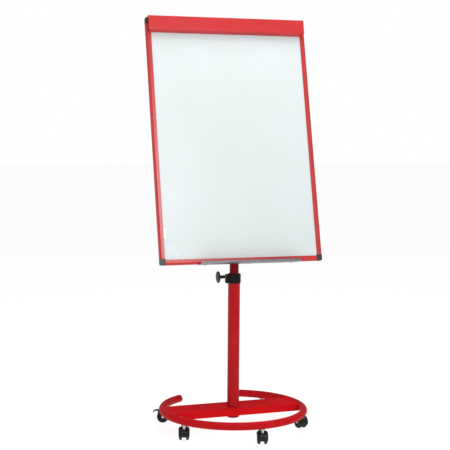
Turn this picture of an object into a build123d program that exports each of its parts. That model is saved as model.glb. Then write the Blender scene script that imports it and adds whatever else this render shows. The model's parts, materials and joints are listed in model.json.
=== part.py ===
from build123d import *
from math import cos, radians, sin
import os

# Mobile flipchart easel. Millimetres, +Z up. The origin is on the floor, on the column's axis, and the
# writing surface faces -Y. The ring base is turned a little about the column, as the round tube lets it.

# Base ring, with its open gap behind
base_turn = 2.2
ring_radius = 296.0
ring_tube_radius = 16.0
ring_wall = 2.0
ring_height = 81.0
ring_gap_middle = 94.5
ring_gap_angle = 53.8
plug_depth = 16.0
plug_crown = 4.0
plug_play = 0.15

# Cross bar: a folded channel, open below, welded between the two sides of the ring
bar_top = 92.0
bar_depth = 30.0
bar_front = 45.0
bar_back = 89.0
bar_sheet = 3.0
bar_bend = 6.0
weld_gap = 0.15

# Column: outer tube, inner tube and what guides and clamps them
column_radius = 25.0
column_wall = 2.0
column_bottom = 51.0
column_top = 648.0
foot_plug_flange = 3.0
inner_radius = 19.0
inner_wall = 1.5
inner_bottom = 86.0
inner_top = 892.0
running_play = 0.06
collar_wall = 3.0
collar_bottom = 616.5
collar_top = 653.5
collar_rib_depth = 0.8
collar_ribs = 24
boss_length = 13.5
boss_half_width = 11.0
bush_length = 68.0
bush_flange = 1.6
bush_flange_overlap = 1.0
guide_ring_length = 30.0

# Column clamp knob, on the -X side of the collar
knob_height = 643.0
screw_radius = 4.0
insert_radius = 6.0
insert_length = 9.0
knob_hub_radius = 6.8
knob_hub_gap = 3.0
knob_hub_length = 27.0
knob_disc_thickness = 7.5
knob_disc_radius = 24.5
knob_flutes = 12
knob_flute_radius = 2.6

# Tilt pivot at the head of the inner tube
pivot_height = 920.0
pivot_back = 45.0
pivot_up = 228.3
eye_radius = 13.0
eye_width = 24.0
head_plug_length = 30.0
head_flange = 4.0
tilt_bolt_radius = 5.0
washer_thickness = 1.0
washer_play = 0.12
bracket_sheet = 3.0
bracket_half_width = 32.0
bracket_half_height = 42.0
bracket_ear_half_height = 32.0
bolt_head_across = 17.0
bolt_head_height = 6.4
tilt_knob_radius = 21.0
tilt_knob_reach = 43.0
tilt_knob_lobes = 6

# Board, in its own frame: pivot at the origin, front towards -Y, upright before it is tilted
board_tilt = 14.1
board_width = 700.0
board_height = 1032.0
frame_depth = 14.0
rail_face = 21.8
rail_slope_width = 9.0
rail_slope_depth = 4.0
rail_wall = 1.8
rail_chamber = 4.4
panel_clearance = 0.2
panel_play = 1.0
front_lip = 2.8
back_lip = 3.2
sheet_thickness = 0.8
cap_width = 24.0
cap_height = 26.0
cap_proud = 0.4
cap_round = 8.0
spigot_length = 12.0
beam_half_width = 30.0
beam_depth = 12.0
beam_wall = 1.5
beam_end_gap = 4.0

# Pen tray under the bottom rail
tray_length = 431.0
tray_offset = 26.5
tray_depth = 54.5
tray_sheet = 2.0
tray_lip = 9.0
tray_set_back = 0.5

# Pad clamp bar in front of the top rail, hinged on a rod inside its top
clamp_end_set_back = 8.0
clamp_face = 59.5
clamp_drop = 7.5
clamp_proud = 21.4
clamp_rise = 1.8
clamp_wall = 1.8
clamp_gap = 0.8
clamp_return = 8.5
clamp_top_past_rod = 2.0
rod_radius = 2.0
rod_before_face = 6.0
rod_below_top = 6.4
rod_overhang = 14.0
hinge_barrel = 3.5
hinge_length = 24.0
hinge_spacing = 200.0
hinge_leaf = 2.0
hinge_leaf_height = 9.0
knuckle_length = 12.0
hinge_end_play = 0.5
spring_radius = 3.2
spring_coils = 9
spring_pitch = 1.3
peg_radius = 4.0
peg_length = 15.0
peg_flange_radius = 6.0
peg_flange = 1.5
peg_spacing = 520.0

# Board screws
screw_shank = 2.0
screw_hole_play = 0.1
screw_head_radius = 4.0
screw_head = 2.4
screw_bite = 5.5

# Twin-wheel castors
castor_middle_angle = -87.0
castor_spacing = 65.5
castor_count = 5
castor_trails = [159.6, 72.0, 74.0, 100.0, 159.6]
wheel_radius = 25.0
wheel_width = 11.4
wheel_inner = 8.8
wheel_shoulder = 7.0
wheel_rim_round = 1.5
wheel_dish = 2.5
wheel_dish_radius = 14.0
castor_trail = 18.0
guard_clearance = 1.2
guard_wall = 3.0
guard_half_width = 22.8
guard_side_wall = 1.8
guard_shoulder = 8.0
guard_side_cut = 17.0
guard_start = 66.0
guard_end = 196.0
web_half_width = 8.0
web_start = 36.0
axle_radius = 3.0
axle_cap_radius = 5.0
axle_cap = 1.4
stem_radius = 5.0
stem_flange_radius = 8.0
stem_flange = 2.5
stem_in_ring = 11.0
neck_top = 50.0
stem_foot = 33.0
pedal_pin_radius = 2.0
pedal_pin_offset = 13.0
pedal_pin_over_axle = 19.0
pedal_hub_radius = 4.6
pedal_hub_half = 5.0
pedal_half_width = 11.0
pedal_thickness = 3.0
pedal_past_wheel = 16.0

# Places that follow from the sizes above
frame_back = -pivot_back
frame_front = frame_back - frame_depth
board_bottom = -pivot_up
board_top = board_bottom + board_height
half_board = board_width / 2
panel_front = frame_front + front_lip + panel_clearance
panel_back = frame_back - back_lip - panel_clearance
panel_inset = rail_wall + rail_chamber + rail_wall + panel_play
beam_back = frame_back + beam_depth
ear_inner = eye_width / 2 + washer_thickness + 2 * washer_play
ear_outer = ear_inner + bracket_sheet
ring_bottom = ring_height - ring_tube_radius
clamp_front = frame_front - clamp_proud
clamp_top = board_top + clamp_rise
clamp_heel = clamp_top - clamp_face
clamp_foot = clamp_heel - clamp_drop
rod_y = frame_front - rod_before_face
rod_z = clamp_top - rod_below_top
flat_start = board_top - rail_slope_width
clamp_length = board_width - 2 * clamp_end_set_back
column_bore = column_radius - column_wall
collar_radius = column_radius + collar_wall
bush_flange_radius = column_radius + bush_flange_overlap
boss_reach = column_radius + boss_length
knob_hub_start = boss_reach + knob_hub_gap
knob_disc_start = knob_hub_start + knob_hub_length
knob_disc_end = knob_disc_start + knob_disc_thickness
pedal_pin_height = wheel_radius + pedal_pin_over_axle
pedal_reach = castor_trail + wheel_radius + pedal_past_wheel

BASE = (Align.CENTER, Align.CENTER, Align.MIN)


def block(x0, x1, y0, y1, z0, z1):
    """Box between two corners."""
    return Pos((x0 + x1) / 2, (y0 + y1) / 2, (z0 + z1) / 2) * Box(x1 - x0, y1 - y0, z1 - z0)


def rod_up(radius, z0, z1, x=0.0, y=0.0):
    """Round bar along Z."""
    return Pos(x, y, z0) * Cylinder(radius, z1 - z0, align=BASE)


def rod_across(radius, x0, x1, y=0.0, z=0.0):
    """Round bar along X."""
    return Pos(x0, y, z) * Rot(0, 90, 0) * Cylinder(radius, x1 - x0, align=BASE)


def rod_along(radius, y0, y1, x=0.0, z=0.0):
    """Round bar along Y."""
    return Pos(x, y0, z) * Rot(-90, 0, 0) * Cylinder(radius, y1 - y0, align=BASE)


def tube_up(outer, inner, z0, z1):
    """Round tube along Z."""
    return rod_up(outer, z0, z1) - rod_up(inner, z0, z1)


def ring_arc(section, start, arc):
    """A section of the ring swept round the column's axis, from one angle over an arc."""
    placed = Plane.XZ * (Pos(ring_radius, ring_height) * section)
    return Rot(0, 0, start) * revolve(placed, axis=Axis.Z, revolution_arc=arc)


def on_ring(angle):
    """Point of the ring's centre line in plan."""
    return ring_radius * cos(radians(angle)), ring_radius * sin(radians(angle))


def castor_angles():
    """Angles of the castor stems about the column, in order round the ring."""
    first = castor_middle_angle - castor_spacing * (castor_count // 2)
    return [first + castor_spacing * n for n in range(castor_count)]


def base_ring():
    """Bent round tube, open behind, bored below for each castor stem."""
    section = Circle(ring_tube_radius) - Circle(ring_tube_radius - ring_wall)
    ring = ring_arc(section, ring_gap_middle + ring_gap_angle / 2, 360 - ring_gap_angle)
    for angle in castor_angles():
        x, y = on_ring(angle)
        ring -= rod_up(stem_radius + plug_play, ring_bottom - ring_wall, ring_height, x, y)
    return ring


def ring_plug(angle, outward):
    """Domed plug in one end of the ring; outward is +1 where the open side lies at a greater angle."""
    x, y = on_ring(angle)
    away = (-outward * sin(radians(angle)), outward * cos(radians(angle)), 0)
    crown = Cylinder(ring_tube_radius, plug_crown, align=BASE)
    crown = fillet(crown.edges().sort_by(Axis.Z)[-1:], plug_crown - 1)
    crown = Plane(origin=(x, y, ring_height), z_dir=away) * crown
    insert_arc = plug_depth / radians(1) / ring_radius
    start = angle - insert_arc if outward > 0 else angle
    insert = ring_arc(Circle(ring_tube_radius - ring_wall - plug_play), start, insert_arc)
    return crown + insert


def foot_plug():
    """Plug that closes the bottom of the column."""
    flange = rod_up(column_radius, column_bottom - foot_plug_flange, column_bottom)
    return flange + rod_up(column_bore - plug_play, column_bottom, column_bottom + plug_depth)


def tube_plugs():
    """Both ring end plugs and the column's foot plug."""
    half_gap = ring_gap_angle / 2
    left = ring_plug(ring_gap_middle + half_gap, -1)
    right = ring_plug(ring_gap_middle - half_gap, 1)
    return Compound(children=[left, right, foot_plug()])


def cross_bar():
    """Folded channel whose ends are cut to the ring's tube, with a hole for the column."""
    low = bar_top - bar_depth
    outline = block(-ring_radius, ring_radius, -bar_front, bar_back, low, bar_top)
    outline = fillet(outline.edges().filter_by(Axis.X).sort_by(Axis.Z)[-2:], bar_bend)
    hollow = block(
        -ring_radius, ring_radius, bar_sheet - bar_front, bar_back - bar_sheet, low, bar_top - bar_sheet
    )
    hollow = fillet(hollow.edges().filter_by(Axis.X).sort_by(Axis.Z)[-2:], bar_bend - bar_sheet)
    reach = ring_radius - ring_tube_radius / 2
    bar = (outline - hollow) & rod_up(reach, low, bar_top)
    bar -= Pos(0, 0, ring_height) * Torus(ring_radius, ring_tube_radius + weld_gap)
    return bar - rod_up(column_radius + weld_gap, low, bar_top)


def column_tube():
    """Outer tube of the column, with the hole that the clamp screw passes through."""
    tube = tube_up(column_radius, column_bore, column_bottom, column_top)
    return tube - rod_across(screw_radius + 0.5, -column_radius - 1, -column_bore + 1, z=knob_height)


def clamp_collar():
    """Moulded collar on top of the outer tube, ribbed round its side, with a boss for the knob."""
    sleeve = rod_up(collar_radius, collar_bottom, collar_top)
    for n in range(collar_ribs):
        groove = rod_up(collar_rib_depth, collar_bottom + 3, collar_top - 3, collar_radius, 0)
        sleeve -= Rot(0, 0, n * 360 / collar_ribs) * groove
    boss = block(-boss_reach, -inner_radius, -boss_half_width, boss_half_width, collar_bottom, collar_top)
    corners = boss.edges().filter_by(Axis.Z).sort_by(Axis.X)[:2]
    boss = fillet(corners, boss_half_width / 2)
    lowest = boss.faces().sort_by(Axis.Z)[0].edges().sort_by(Axis.X)[:3]
    boss = chamfer(lowest, 2.5)
    collar = sleeve + boss
    collar -= rod_up(column_radius + weld_gap, collar_bottom, column_top)
    collar -= rod_up(column_bore + running_play, column_top, collar_top)
    return collar - rod_across(insert_radius + 0.05, -boss_reach, -column_bore, z=knob_height)


def collar_insert():
    """Brass insert with the thread for the clamp screw."""
    start = -boss_reach + 0.5
    body = rod_across(insert_radius, start, start + insert_length, z=knob_height)
    return body - rod_across(screw_radius + running_play, start, start + insert_length, z=knob_height)


def knob_screw():
    """Clamp screw, from just outside the bush to inside the knob."""
    tip = -column_bore - 0.3
    return rod_across(screw_radius, -knob_disc_end + 3, tip, z=knob_height)


def collar_knob():
    """Fluted disc knob on a slim hub."""
    disc = rod_across(knob_disc_radius, -knob_disc_end, -knob_disc_start, z=knob_height)
    disc = fillet(disc.edges().filter_by(GeomType.CIRCLE).sort_by(Axis.X)[:1], 4.0)
    disc = fillet(disc.edges().filter_by(GeomType.CIRCLE).sort_by(Axis.X)[-1:], 2.0)
    for n in range(knob_flutes):
        turn = radians(n * 360 / knob_flutes)
        y = (knob_disc_radius + 1) * cos(turn)
        z = knob_height + (knob_disc_radius + 1) * sin(turn)
        disc -= rod_across(knob_flute_radius, -knob_disc_end, -knob_disc_start, y, z)
    hub = rod_across(knob_hub_radius, -knob_disc_start, -knob_hub_start, z=knob_height)
    bore = rod_across(screw_radius + 0.05, -knob_disc_end + 3, -knob_hub_start, z=knob_height)
    return disc + hub - bore


def guide_bush():
    """Flanged plastic sleeve between the outer and the inner tube."""
    outer = column_bore - running_play
    inner = inner_radius + running_play
    seat = collar_top + 0.2
    sleeve = tube_up(outer, inner, seat - bush_length, seat + 0.5)
    flange = tube_up(bush_flange_radius, inner, seat, seat + bush_flange)
    flange = fillet(flange.edges().filter_by(GeomType.CIRCLE).sort_by(Axis.Z)[-1:], 0.8)
    return sleeve + flange


def inner_tube():
    """Sliding inner tube of the column."""
    return tube_up(inner_radius, inner_radius - inner_wall, inner_bottom, inner_top)


def lower_guide_ring():
    """Plastic ring on the foot of the inner tube, which runs inside the outer tube."""
    start = inner_bottom + 4
    return tube_up(column_bore - running_play, inner_radius + 0.03, start, start + guide_ring_length)


def tilt_head():
    """Plug in the inner tube that carries the eye of the tilt pivot."""
    head = rod_up(inner_radius - inner_wall - plug_play, inner_top - head_plug_length, inner_top)
    head += rod_up(inner_radius, inner_top, inner_top + head_flange)
    half = eye_width / 2
    head += block(-half, half, -eye_radius, eye_radius, inner_top, pivot_height)
    head += rod_across(eye_radius, -half, half, z=pivot_height)
    return head - rod_across(tilt_bolt_radius + running_play, -half, half, z=pivot_height)


def tilt_washers():
    """Friction washer on each side of the eye."""
    start = eye_width / 2 + washer_play
    washer = rod_across(eye_radius, start, start + washer_thickness)
    washer -= rod_across(tilt_bolt_radius + running_play, start, start + washer_thickness)
    return Compound(children=[washer, mirror(washer, about=Plane.YZ)])


def tilt_bracket():
    """Folded bracket on the back beam: a plate with two ears round the eye."""
    plate = block(
        -bracket_half_width, bracket_half_width, beam_back, beam_back + bracket_sheet,
        -bracket_half_height, bracket_half_height,
    )
    foot = Pos(beam_back + bracket_sheet / 2, 0) * Rectangle(bracket_sheet, 2 * bracket_ear_half_height)
    outline = make_hull(foot.edges() + Circle(eye_radius + 1).edges())
    ear = extrude(Plane.YZ.offset(ear_inner) * outline, bracket_sheet)
    bracket = plate + ear + mirror(ear, about=Plane.YZ)
    bracket -= rod_across(tilt_bolt_radius + running_play, -ear_outer, ear_outer)
    for x, z in bracket_screw_places():
        bracket -= rod_along(screw_shank + screw_hole_play, beam_back, beam_back + bracket_sheet, x, z)
    return bracket


def tilt_bolt():
    """Hexagon bolt through the ears and the eye."""
    shank = rod_across(tilt_bolt_radius, 4 - tilt_knob_reach, ear_outer)
    head = RegularPolygon(bolt_head_across / 2, 6, major_radius=False)
    return shank + extrude(Plane.YZ.offset(ear_outer) * head, bolt_head_height)


def tilt_knob():
    """Lobed clamp knob on the threaded end of the tilt bolt."""
    hub = rod_across(tilt_knob_radius / 2, -ear_outer - 12, -ear_outer - 0.3)
    head_start = -ear_outer - 12
    head = rod_across(tilt_knob_radius, -tilt_knob_reach, head_start)
    head = fillet(head.edges().filter_by(GeomType.CIRCLE), 3.0)
    for n in range(tilt_knob_lobes):
        turn = radians((n + 0.5) * 360 / tilt_knob_lobes)
        reach = tilt_knob_radius + 4
        head -= rod_across(7.0, -tilt_knob_reach, head_start, reach * cos(turn), reach * sin(turn))
    bore = rod_across(tilt_bolt_radius + running_play, 4 - tilt_knob_reach, 0)
    return hub + head - bore


def bracket_screw_places():
    """The bracket's four screws, in X and Z."""
    return [(x, z) for x in (-24.0, 24.0) for z in (-33.0, 33.0)]


def beam_screw_places():
    """The beam's screws into the middle of the bottom and top rails, in X and Z."""
    middle = rail_wall + rail_chamber / 2
    return [(x, z) for x in (-18.0, 18.0) for z in (board_bottom + middle, board_top - middle)]


def tray_screw_places():
    """The tray's screws up into the bottom rail, in X."""
    reach = tray_length / 2 - 30
    return [tray_offset - reach, tray_offset, tray_offset + reach]


def back_beam():
    """Flat box section down the middle of the back, from the bottom rail to the top rail."""
    low, high = board_bottom + beam_end_gap, board_top - beam_end_gap
    outside = block(-beam_half_width, beam_half_width, frame_back, beam_back, low, high)
    outside = fillet(outside.edges().filter_by(Axis.Z), 1.5)
    hollow_half = beam_half_width - beam_wall
    beam = outside - block(
        -hollow_half, hollow_half, frame_back + beam_wall, beam_back - beam_wall, low, high
    )
    for x, z in beam_screw_places():
        beam -= rod_along(screw_shank + screw_hole_play, frame_back, beam_back, x, z)
    for x, z in bracket_screw_places():
        beam -= rod_along(screw_shank + screw_hole_play, beam_back - beam_wall, beam_back, x, z)
    return beam


def pan_screw(length):
    """Pan-head screw with its seat at the origin, head towards +Z and shank down."""
    head = Cylinder(screw_head_radius, screw_head, align=BASE)
    head = fillet(head.edges().sort_by(Axis.Z)[-1:], screw_head / 2)
    return head + Pos(0, 0, -length) * Cylinder(screw_shank, length, align=BASE)


def board_screws():
    """All the small screws of the board: beam, bracket and tray."""
    screws = []
    for x, z in beam_screw_places():
        screws.append(Pos(x, beam_back, z) * Rot(-90, 0, 0) * pan_screw(beam_depth + screw_bite))
    for x, z in bracket_screw_places():
        seat = beam_back + bracket_sheet
        screws.append(Pos(x, seat, z) * Rot(-90, 0, 0) * pan_screw(bracket_sheet + screw_bite))
    for x in tray_screw_places():
        seat = board_bottom - tray_sheet
        screws.append(Pos(x, tray_screw_line(), seat) * Rot(180, 0, 0) * pan_screw(tray_sheet + screw_bite))
    return Compound(children=screws)


def tray_screw_line():
    """Y of the tray's screws, under the bottom rail's chamber."""
    return frame_back - frame_depth / 3


def rail_section():
    """Frame section: X runs inwards from the outer edge, Y from the front face to the back."""
    slot = rail_wall * 2 + rail_chamber
    outline = make_face(Polyline(
        (0, frame_back), (rail_face, frame_back), (rail_face, frame_back - back_lip),
        (slot, frame_back - back_lip), (slot, frame_front + front_lip), (rail_face, frame_front + front_lip),
        (rail_face, frame_front), (rail_slope_width, frame_front), (0, frame_front + rail_slope_depth),
        close=True,
    ))
    return outline - rail_chamber_section(0)


def rail_chamber_section(play):
    """Hollow of the frame section, or the corner cap's spigot that fills it when play is given."""
    front = frame_front + rail_slope_depth + rail_wall
    back = frame_back - rail_wall
    middle = Pos(rail_wall + rail_chamber / 2, (front + back) / 2)
    return middle * Rectangle(rail_chamber - 2 * play, back - front - 2 * play)


def rail_left():
    """Left side rail, between the corner caps."""
    length = board_height - 2 * cap_height
    return Pos(-half_board, 0, board_bottom + cap_height) * extrude(rail_section(), length)


def rail_bottom():
    """Bottom rail, holed for the beam's and the tray's screws."""
    length = board_width - 2 * cap_width
    start = Plane(origin=(length / 2, 0, board_bottom), x_dir=(0, 0, 1), z_dir=(-1, 0, 0))
    rail = start * extrude(rail_section(), length)
    for x, z in beam_screw_places():
        if z < 0:
            rail -= rod_along(screw_shank + screw_hole_play, frame_back - screw_bite - 1, frame_back, x, z)
    for x in tray_screw_places():
        hole = screw_shank + screw_hole_play
        rail -= rod_up(hole, board_bottom, board_bottom + screw_bite + 1, x, tray_screw_line())
    return rail


def rail_top():
    """Top rail, holed for the beam's screws."""
    length = board_width - 2 * cap_width
    start = Plane(origin=(-length / 2, 0, board_top), x_dir=(0, 0, -1), z_dir=(1, 0, 0))
    rail = start * extrude(rail_section(), length)
    for x, z in beam_screw_places():
        if z > 0:
            rail -= rod_along(screw_shank + screw_hole_play, frame_back - screw_bite - 1, frame_back, x, z)
    return rail


def corner_cap():
    """Bottom left corner cap, slotted for the panel, with a spigot in each rail."""
    left, low = -half_board, board_bottom
    front, back = frame_front - cap_proud, frame_back + cap_proud
    cap = block(left, left + cap_width, front, back, low, low + cap_height)
    cap = fillet(cap.edges().filter_by(Axis.Y).group_by(Axis.Z)[0].sort_by(Axis.X)[:1], cap_round)
    cap = fillet(cap.faces().sort_by(Axis.Y)[0].edges(), 1.2)
    slot = rail_wall * 2 + rail_chamber
    cap -= block(
        left + slot, left + cap_width, frame_front + front_lip, frame_back - back_lip,
        low + slot, low + cap_height,
    )
    spigot = extrude(rail_chamber_section(plug_play), spigot_length)
    cap += Pos(left, 0, low + cap_height) * spigot
    along = Plane(origin=(left + cap_width + spigot_length, 0, low), x_dir=(0, 0, 1), z_dir=(-1, 0, 0))
    return cap + along * spigot


def corner_caps():
    """The four corner caps, each the mirror image of its neighbours."""
    low_left = corner_cap()
    low_right = mirror(low_left, about=Plane.YZ)
    middle = Plane.XY.offset((board_bottom + board_top) / 2)
    uppers = [mirror(cap, about=middle) for cap in (low_left, low_right)]
    return Compound(children=[low_left, low_right, *uppers])


def panel_layer(y0, y1):
    """One layer of the panel, held in the slots of the frame."""
    half = half_board - panel_inset
    return block(-half, half, y0, y1, board_bottom + panel_inset, board_top - panel_inset)


def writing_sheet():
    """Enamelled steel writing surface."""
    return panel_layer(panel_front, panel_front + sheet_thickness)


def board_core():
    """Fibre core of the panel."""
    return panel_layer(panel_front + sheet_thickness, panel_back - sheet_thickness)


def back_sheet():
    """Steel balancing sheet on the back of the panel."""
    return panel_layer(panel_back - sheet_thickness, panel_back)


def pen_tray():
    """Extruded tray: a floor under the bottom rail with an upturned lip in front."""
    back = frame_back - tray_set_back
    front = back - tray_depth
    low, high = board_bottom - tray_sheet, board_bottom
    left, right = tray_offset - tray_length / 2, tray_offset + tray_length / 2
    tray = block(left, right, front, back, low, high)
    lip = block(left, right, front, front + tray_sheet, low, low + tray_lip)
    tray += fillet(lip.edges().filter_by(Axis.X).sort_by(Axis.Z)[-2:], tray_sheet / 2 - 0.1)
    for x in tray_screw_places():
        tray -= rod_up(screw_shank + screw_hole_play, low, high, x, tray_screw_line())
    return tray


def clamp_section():
    """Clamp bar in Y and Z: top, front, a foot that slopes to the board, and a return that grips the pad."""
    grip = frame_front - clamp_gap
    inside = clamp_front + clamp_wall
    fall = clamp_drop / (grip - clamp_front)
    rise = clamp_wall * (1 + fall**2) ** 0.5
    lip = grip - clamp_wall
    top_end = rod_y + clamp_top_past_rod
    return make_face(Polyline(
        (top_end, clamp_top), (clamp_front, clamp_top), (clamp_front, clamp_heel), (grip, clamp_foot),
        (grip, clamp_foot + clamp_return), (lip, clamp_foot + clamp_return),
        (lip, clamp_heel + rise - fall * (lip - clamp_front)), (inside, clamp_heel + rise - fall * clamp_wall),
        (inside, clamp_top - clamp_wall), (top_end, clamp_top - clamp_wall),
        close=True,
    ))


def clamp_bar():
    """Extruded clamp bar, open at both ends."""
    bar = extrude(Plane.YZ * clamp_section(), clamp_length / 2, both=True)
    bar = fillet(bar.edges().filter_by(Axis.X).sort_by(Axis.Y)[:2], 3.0)
    inner = bar.edges().filter_by(Axis.X).filter_by(
        lambda e: abs(e.center().Y - clamp_front - clamp_wall) < 0.01
    )
    return fillet(inner, 1.2)


def clamp_rod():
    """Steel hinge rod of the clamp bar."""
    half = hinge_spacing + hinge_length / 2 + rod_overhang
    return rod_across(rod_radius, -half, half, rod_y, rod_z)


def hinge_places():
    """The hinge blocks on the top rail, in X."""
    return [-hinge_spacing, 0.0, hinge_spacing]


def clamp_hinges():
    """Hinge blocks on the front of the top rail, which the rod turns in."""
    leaf = Pos(frame_front - hinge_leaf / 2, flat_start - hinge_leaf_height / 2)
    leaf = leaf * Rectangle(hinge_leaf, hinge_leaf_height)
    barrel = Pos(rod_y, rod_z) * Circle(hinge_barrel)
    outline = make_hull(leaf.edges() + barrel.edges()) - Pos(rod_y, rod_z) * Circle(rod_radius + running_play)
    hinge = extrude(Plane.YZ * outline, hinge_length / 2, both=True)
    return Compound(children=[Pos(x, 0, 0) * hinge for x in hinge_places()])


def clamp_knuckles():
    """Knuckles under the top of the clamp bar that hold the rod beside the hinge blocks."""
    seat = clamp_top - clamp_wall
    web = Pos(rod_y, (rod_z + seat) / 2) * Rectangle(2 * clamp_top_past_rod, seat - rod_z)
    outline = web + Pos(rod_y, rod_z) * Circle(hinge_barrel) - Pos(rod_y, rod_z) * Circle(rod_radius + 0.04)
    knuckle = extrude(Plane.YZ * outline, knuckle_length / 2, both=True)
    apart = (hinge_length + knuckle_length) / 2 + hinge_end_play
    places = [apart - hinge_spacing, -apart, apart, hinge_spacing - apart]
    return Compound(children=[Pos(x, 0, 0) * knuckle for x in places])


def clamp_springs():
    """Closely wound torsion spring on the rod, outside each outer hinge block."""
    valley = spring_radius - 0.4
    points = [(0, rod_radius + 0.3), (0, valley)]
    for n in range(spring_coils):
        start = n * spring_pitch
        points += [(start + 0.35, spring_radius), (start + 0.95, spring_radius)]
        points.append((start + spring_pitch, valley))
    points.append((spring_coils * spring_pitch, rod_radius + 0.3))
    coil = revolve(make_face(Polyline(*points, close=True)), axis=Axis.X, revolution_arc=360)
    leg = block(2.0, 3.1, -spring_radius - 5, -spring_radius + 0.5, -0.55, 0.55)
    spring = Pos(hinge_spacing + hinge_length / 2 + hinge_end_play, rod_y, rod_z) * (coil + leg)
    return Compound(children=[spring, mirror(spring, about=Plane.YZ)])


def pad_pegs():
    """Two pegs on the flat of the top rail that a punched pad hangs from."""
    height = board_top - (rail_slope_width + rail_face) / 2
    peg = rod_along(peg_radius, frame_front - peg_length, frame_front, peg_spacing / 2, height)
    peg = fillet(peg.edges().filter_by(GeomType.CIRCLE).sort_by(Axis.Y)[:1], 1.5)
    peg += rod_along(peg_flange_radius, frame_front - peg_flange, frame_front, peg_spacing / 2, height)
    return Compound(children=[peg, mirror(peg, about=Plane.YZ)])


def castor_stems():
    """Steel stems fixed in the ring, each with the flange nut that bears on the tube."""
    stems = []
    for angle in castor_angles():
        x, y = on_ring(angle)
        stem = rod_up(stem_radius, stem_foot, ring_bottom + stem_in_ring, x, y)
        stem = chamfer(stem.edges().filter_by(GeomType.CIRCLE), 0.8)
        top = ring_bottom - 0.1
        stems.append(stem + rod_up(stem_flange_radius, top - stem_flange, top, x, y))
    return Compound(children=stems)


def sector(radius, start, end):
    """Pie slice about the origin, made with straight outer sides well outside the radius."""
    far = radius * 1.6
    middle = [start + (end - start) * n / 4 for n in range(5)]
    corners = [(far * cos(radians(a)), far * sin(radians(a))) for a in middle]
    return make_face(Polyline((0, 0), *corners, close=True))


def castor_plate(sketch, half_width):
    """A shape drawn in X and Z, made as thick as twice the half width about the castor's middle."""
    return extrude(Plane.XZ * sketch, half_width, both=True)


def barrel(radius, half_width, shoulder):
    """Wheel-shaped solid on the castor's axle with rounded shoulders."""
    solid = rod_along(radius, -half_width, half_width, castor_trail, wheel_radius)
    return fillet(solid.edges().filter_by(GeomType.CIRCLE), shoulder)


def castor_guard():
    """Wheel guard: a shell over both wheels that wraps round their shoulders."""
    inner = wheel_radius + guard_clearance
    outer = inner + guard_wall
    half_inside = guard_half_width - guard_side_wall
    shell = barrel(outer, guard_half_width, guard_shoulder + guard_side_wall)
    shell -= barrel(inner, half_inside, guard_shoulder)
    shell -= rod_along(guard_side_cut, -guard_half_width, guard_half_width, castor_trail, wheel_radius)
    span = Pos(castor_trail, wheel_radius) * sector(outer, guard_start, guard_end)
    return shell & castor_plate(span, guard_half_width + 1)


def castor_hood():
    """Moulded castor body: wheel guard, web between the wheels, and the neck round the stem."""
    axle = Pos(castor_trail, wheel_radius)
    web_radius = wheel_radius + guard_clearance + guard_wall / 3
    web = Circle(web_radius) & sector(web_radius, web_start, guard_end)
    hood = castor_guard() + castor_plate(axle * (web + Circle(axle_radius * 3)), web_half_width)
    hood += rod_up(web_half_width, stem_foot, neck_top)
    hood -= rod_up(web_half_width, neck_top, ring_bottom)
    hood -= rod_up(stem_radius + running_play, stem_foot - 0.5, neck_top)
    hood -= rod_along(axle_radius + 0.03, -web_half_width, web_half_width, castor_trail, wheel_radius)
    pin_x = castor_trail + pedal_pin_offset
    slot = Pos(pin_x, pedal_pin_height) * (Circle(pedal_hub_radius + 1.4) + Pos(20, 0) * Rectangle(40, 20))
    hood -= castor_plate(slot, pedal_hub_half + 0.3)
    return hood - rod_along(
        pedal_pin_radius + 0.03, -web_half_width, web_half_width, pin_x, pedal_pin_height
    )


def castor_pins():
    """The wheel axle, with a pressed cap at each end, and the pedal's pin."""
    cap_start = wheel_inner + wheel_width - wheel_dish + 0.2
    cap_end = cap_start + axle_cap
    axle = rod_along(axle_radius, -cap_end, cap_end, castor_trail, wheel_radius)
    axle += rod_along(axle_cap_radius, cap_start, cap_end, castor_trail, wheel_radius)
    axle += rod_along(axle_cap_radius, -cap_end, -cap_start, castor_trail, wheel_radius)
    pin_x = castor_trail + pedal_pin_offset
    pin = rod_along(pedal_pin_radius, -web_half_width, web_half_width, pin_x, pedal_pin_height)
    return Compound(children=[axle, pin])


def castor_wheel(side):
    """One wheel of the pair; side is +1 or -1 along the axle."""
    wheel = Cylinder(wheel_radius, wheel_width, align=BASE)
    wheel = fillet(wheel.edges().sort_by(Axis.Z)[-1:], wheel_shoulder)
    wheel = fillet(wheel.edges().sort_by(Axis.Z)[:1], wheel_rim_round)
    wheel -= Pos(0, 0, wheel_width - wheel_dish) * Cylinder(wheel_dish_radius, wheel_dish, align=BASE)
    wheel -= Cylinder(axle_radius + running_play, wheel_width, align=BASE)
    return Pos(castor_trail, side * wheel_inner, wheel_radius) * Rot(-90 * side, 0, 0) * wheel


def brake_pedal():
    """Brake pedal: a curved plate behind the guard, on a hub between the cheeks of the web."""
    pin_x = castor_trail + pedal_pin_offset
    top = wheel_radius * 2 + guard_clearance + guard_wall - pedal_thickness / 2
    start = (pin_x + 2.5, top - 1.0)
    crest = (pin_x + 11.0, top - 0.2)
    bend = (pedal_reach - 6.0, top - 3.5)
    tip = (pedal_reach, top - 9.0)
    path = Spline(start, crest, bend, tip)
    plate = castor_plate(trace(path, pedal_thickness), pedal_half_width)
    joint = Circle(pedal_hub_radius).edges()
    under = Pos(9.0, top - pedal_pin_height - 1.5) * Rectangle(8.0, 1.0)
    arm = Pos(pin_x, pedal_pin_height) * make_hull(joint + under.edges())
    pedal = plate + castor_plate(arm, pedal_hub_half)
    bore = pedal_pin_radius + running_play
    return pedal - rod_along(bore, -pedal_hub_half, pedal_hub_half, pin_x, pedal_pin_height)


def in_base(shape):
    """Place a piece of the base, turned about the column."""
    return Rot(0, 0, base_turn) * shape


def on_board(shape):
    """Place a piece of the board, tilted back about the pivot."""
    return Pos(0, 0, pivot_height) * Rot(-board_tilt, 0, 0) * shape


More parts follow.
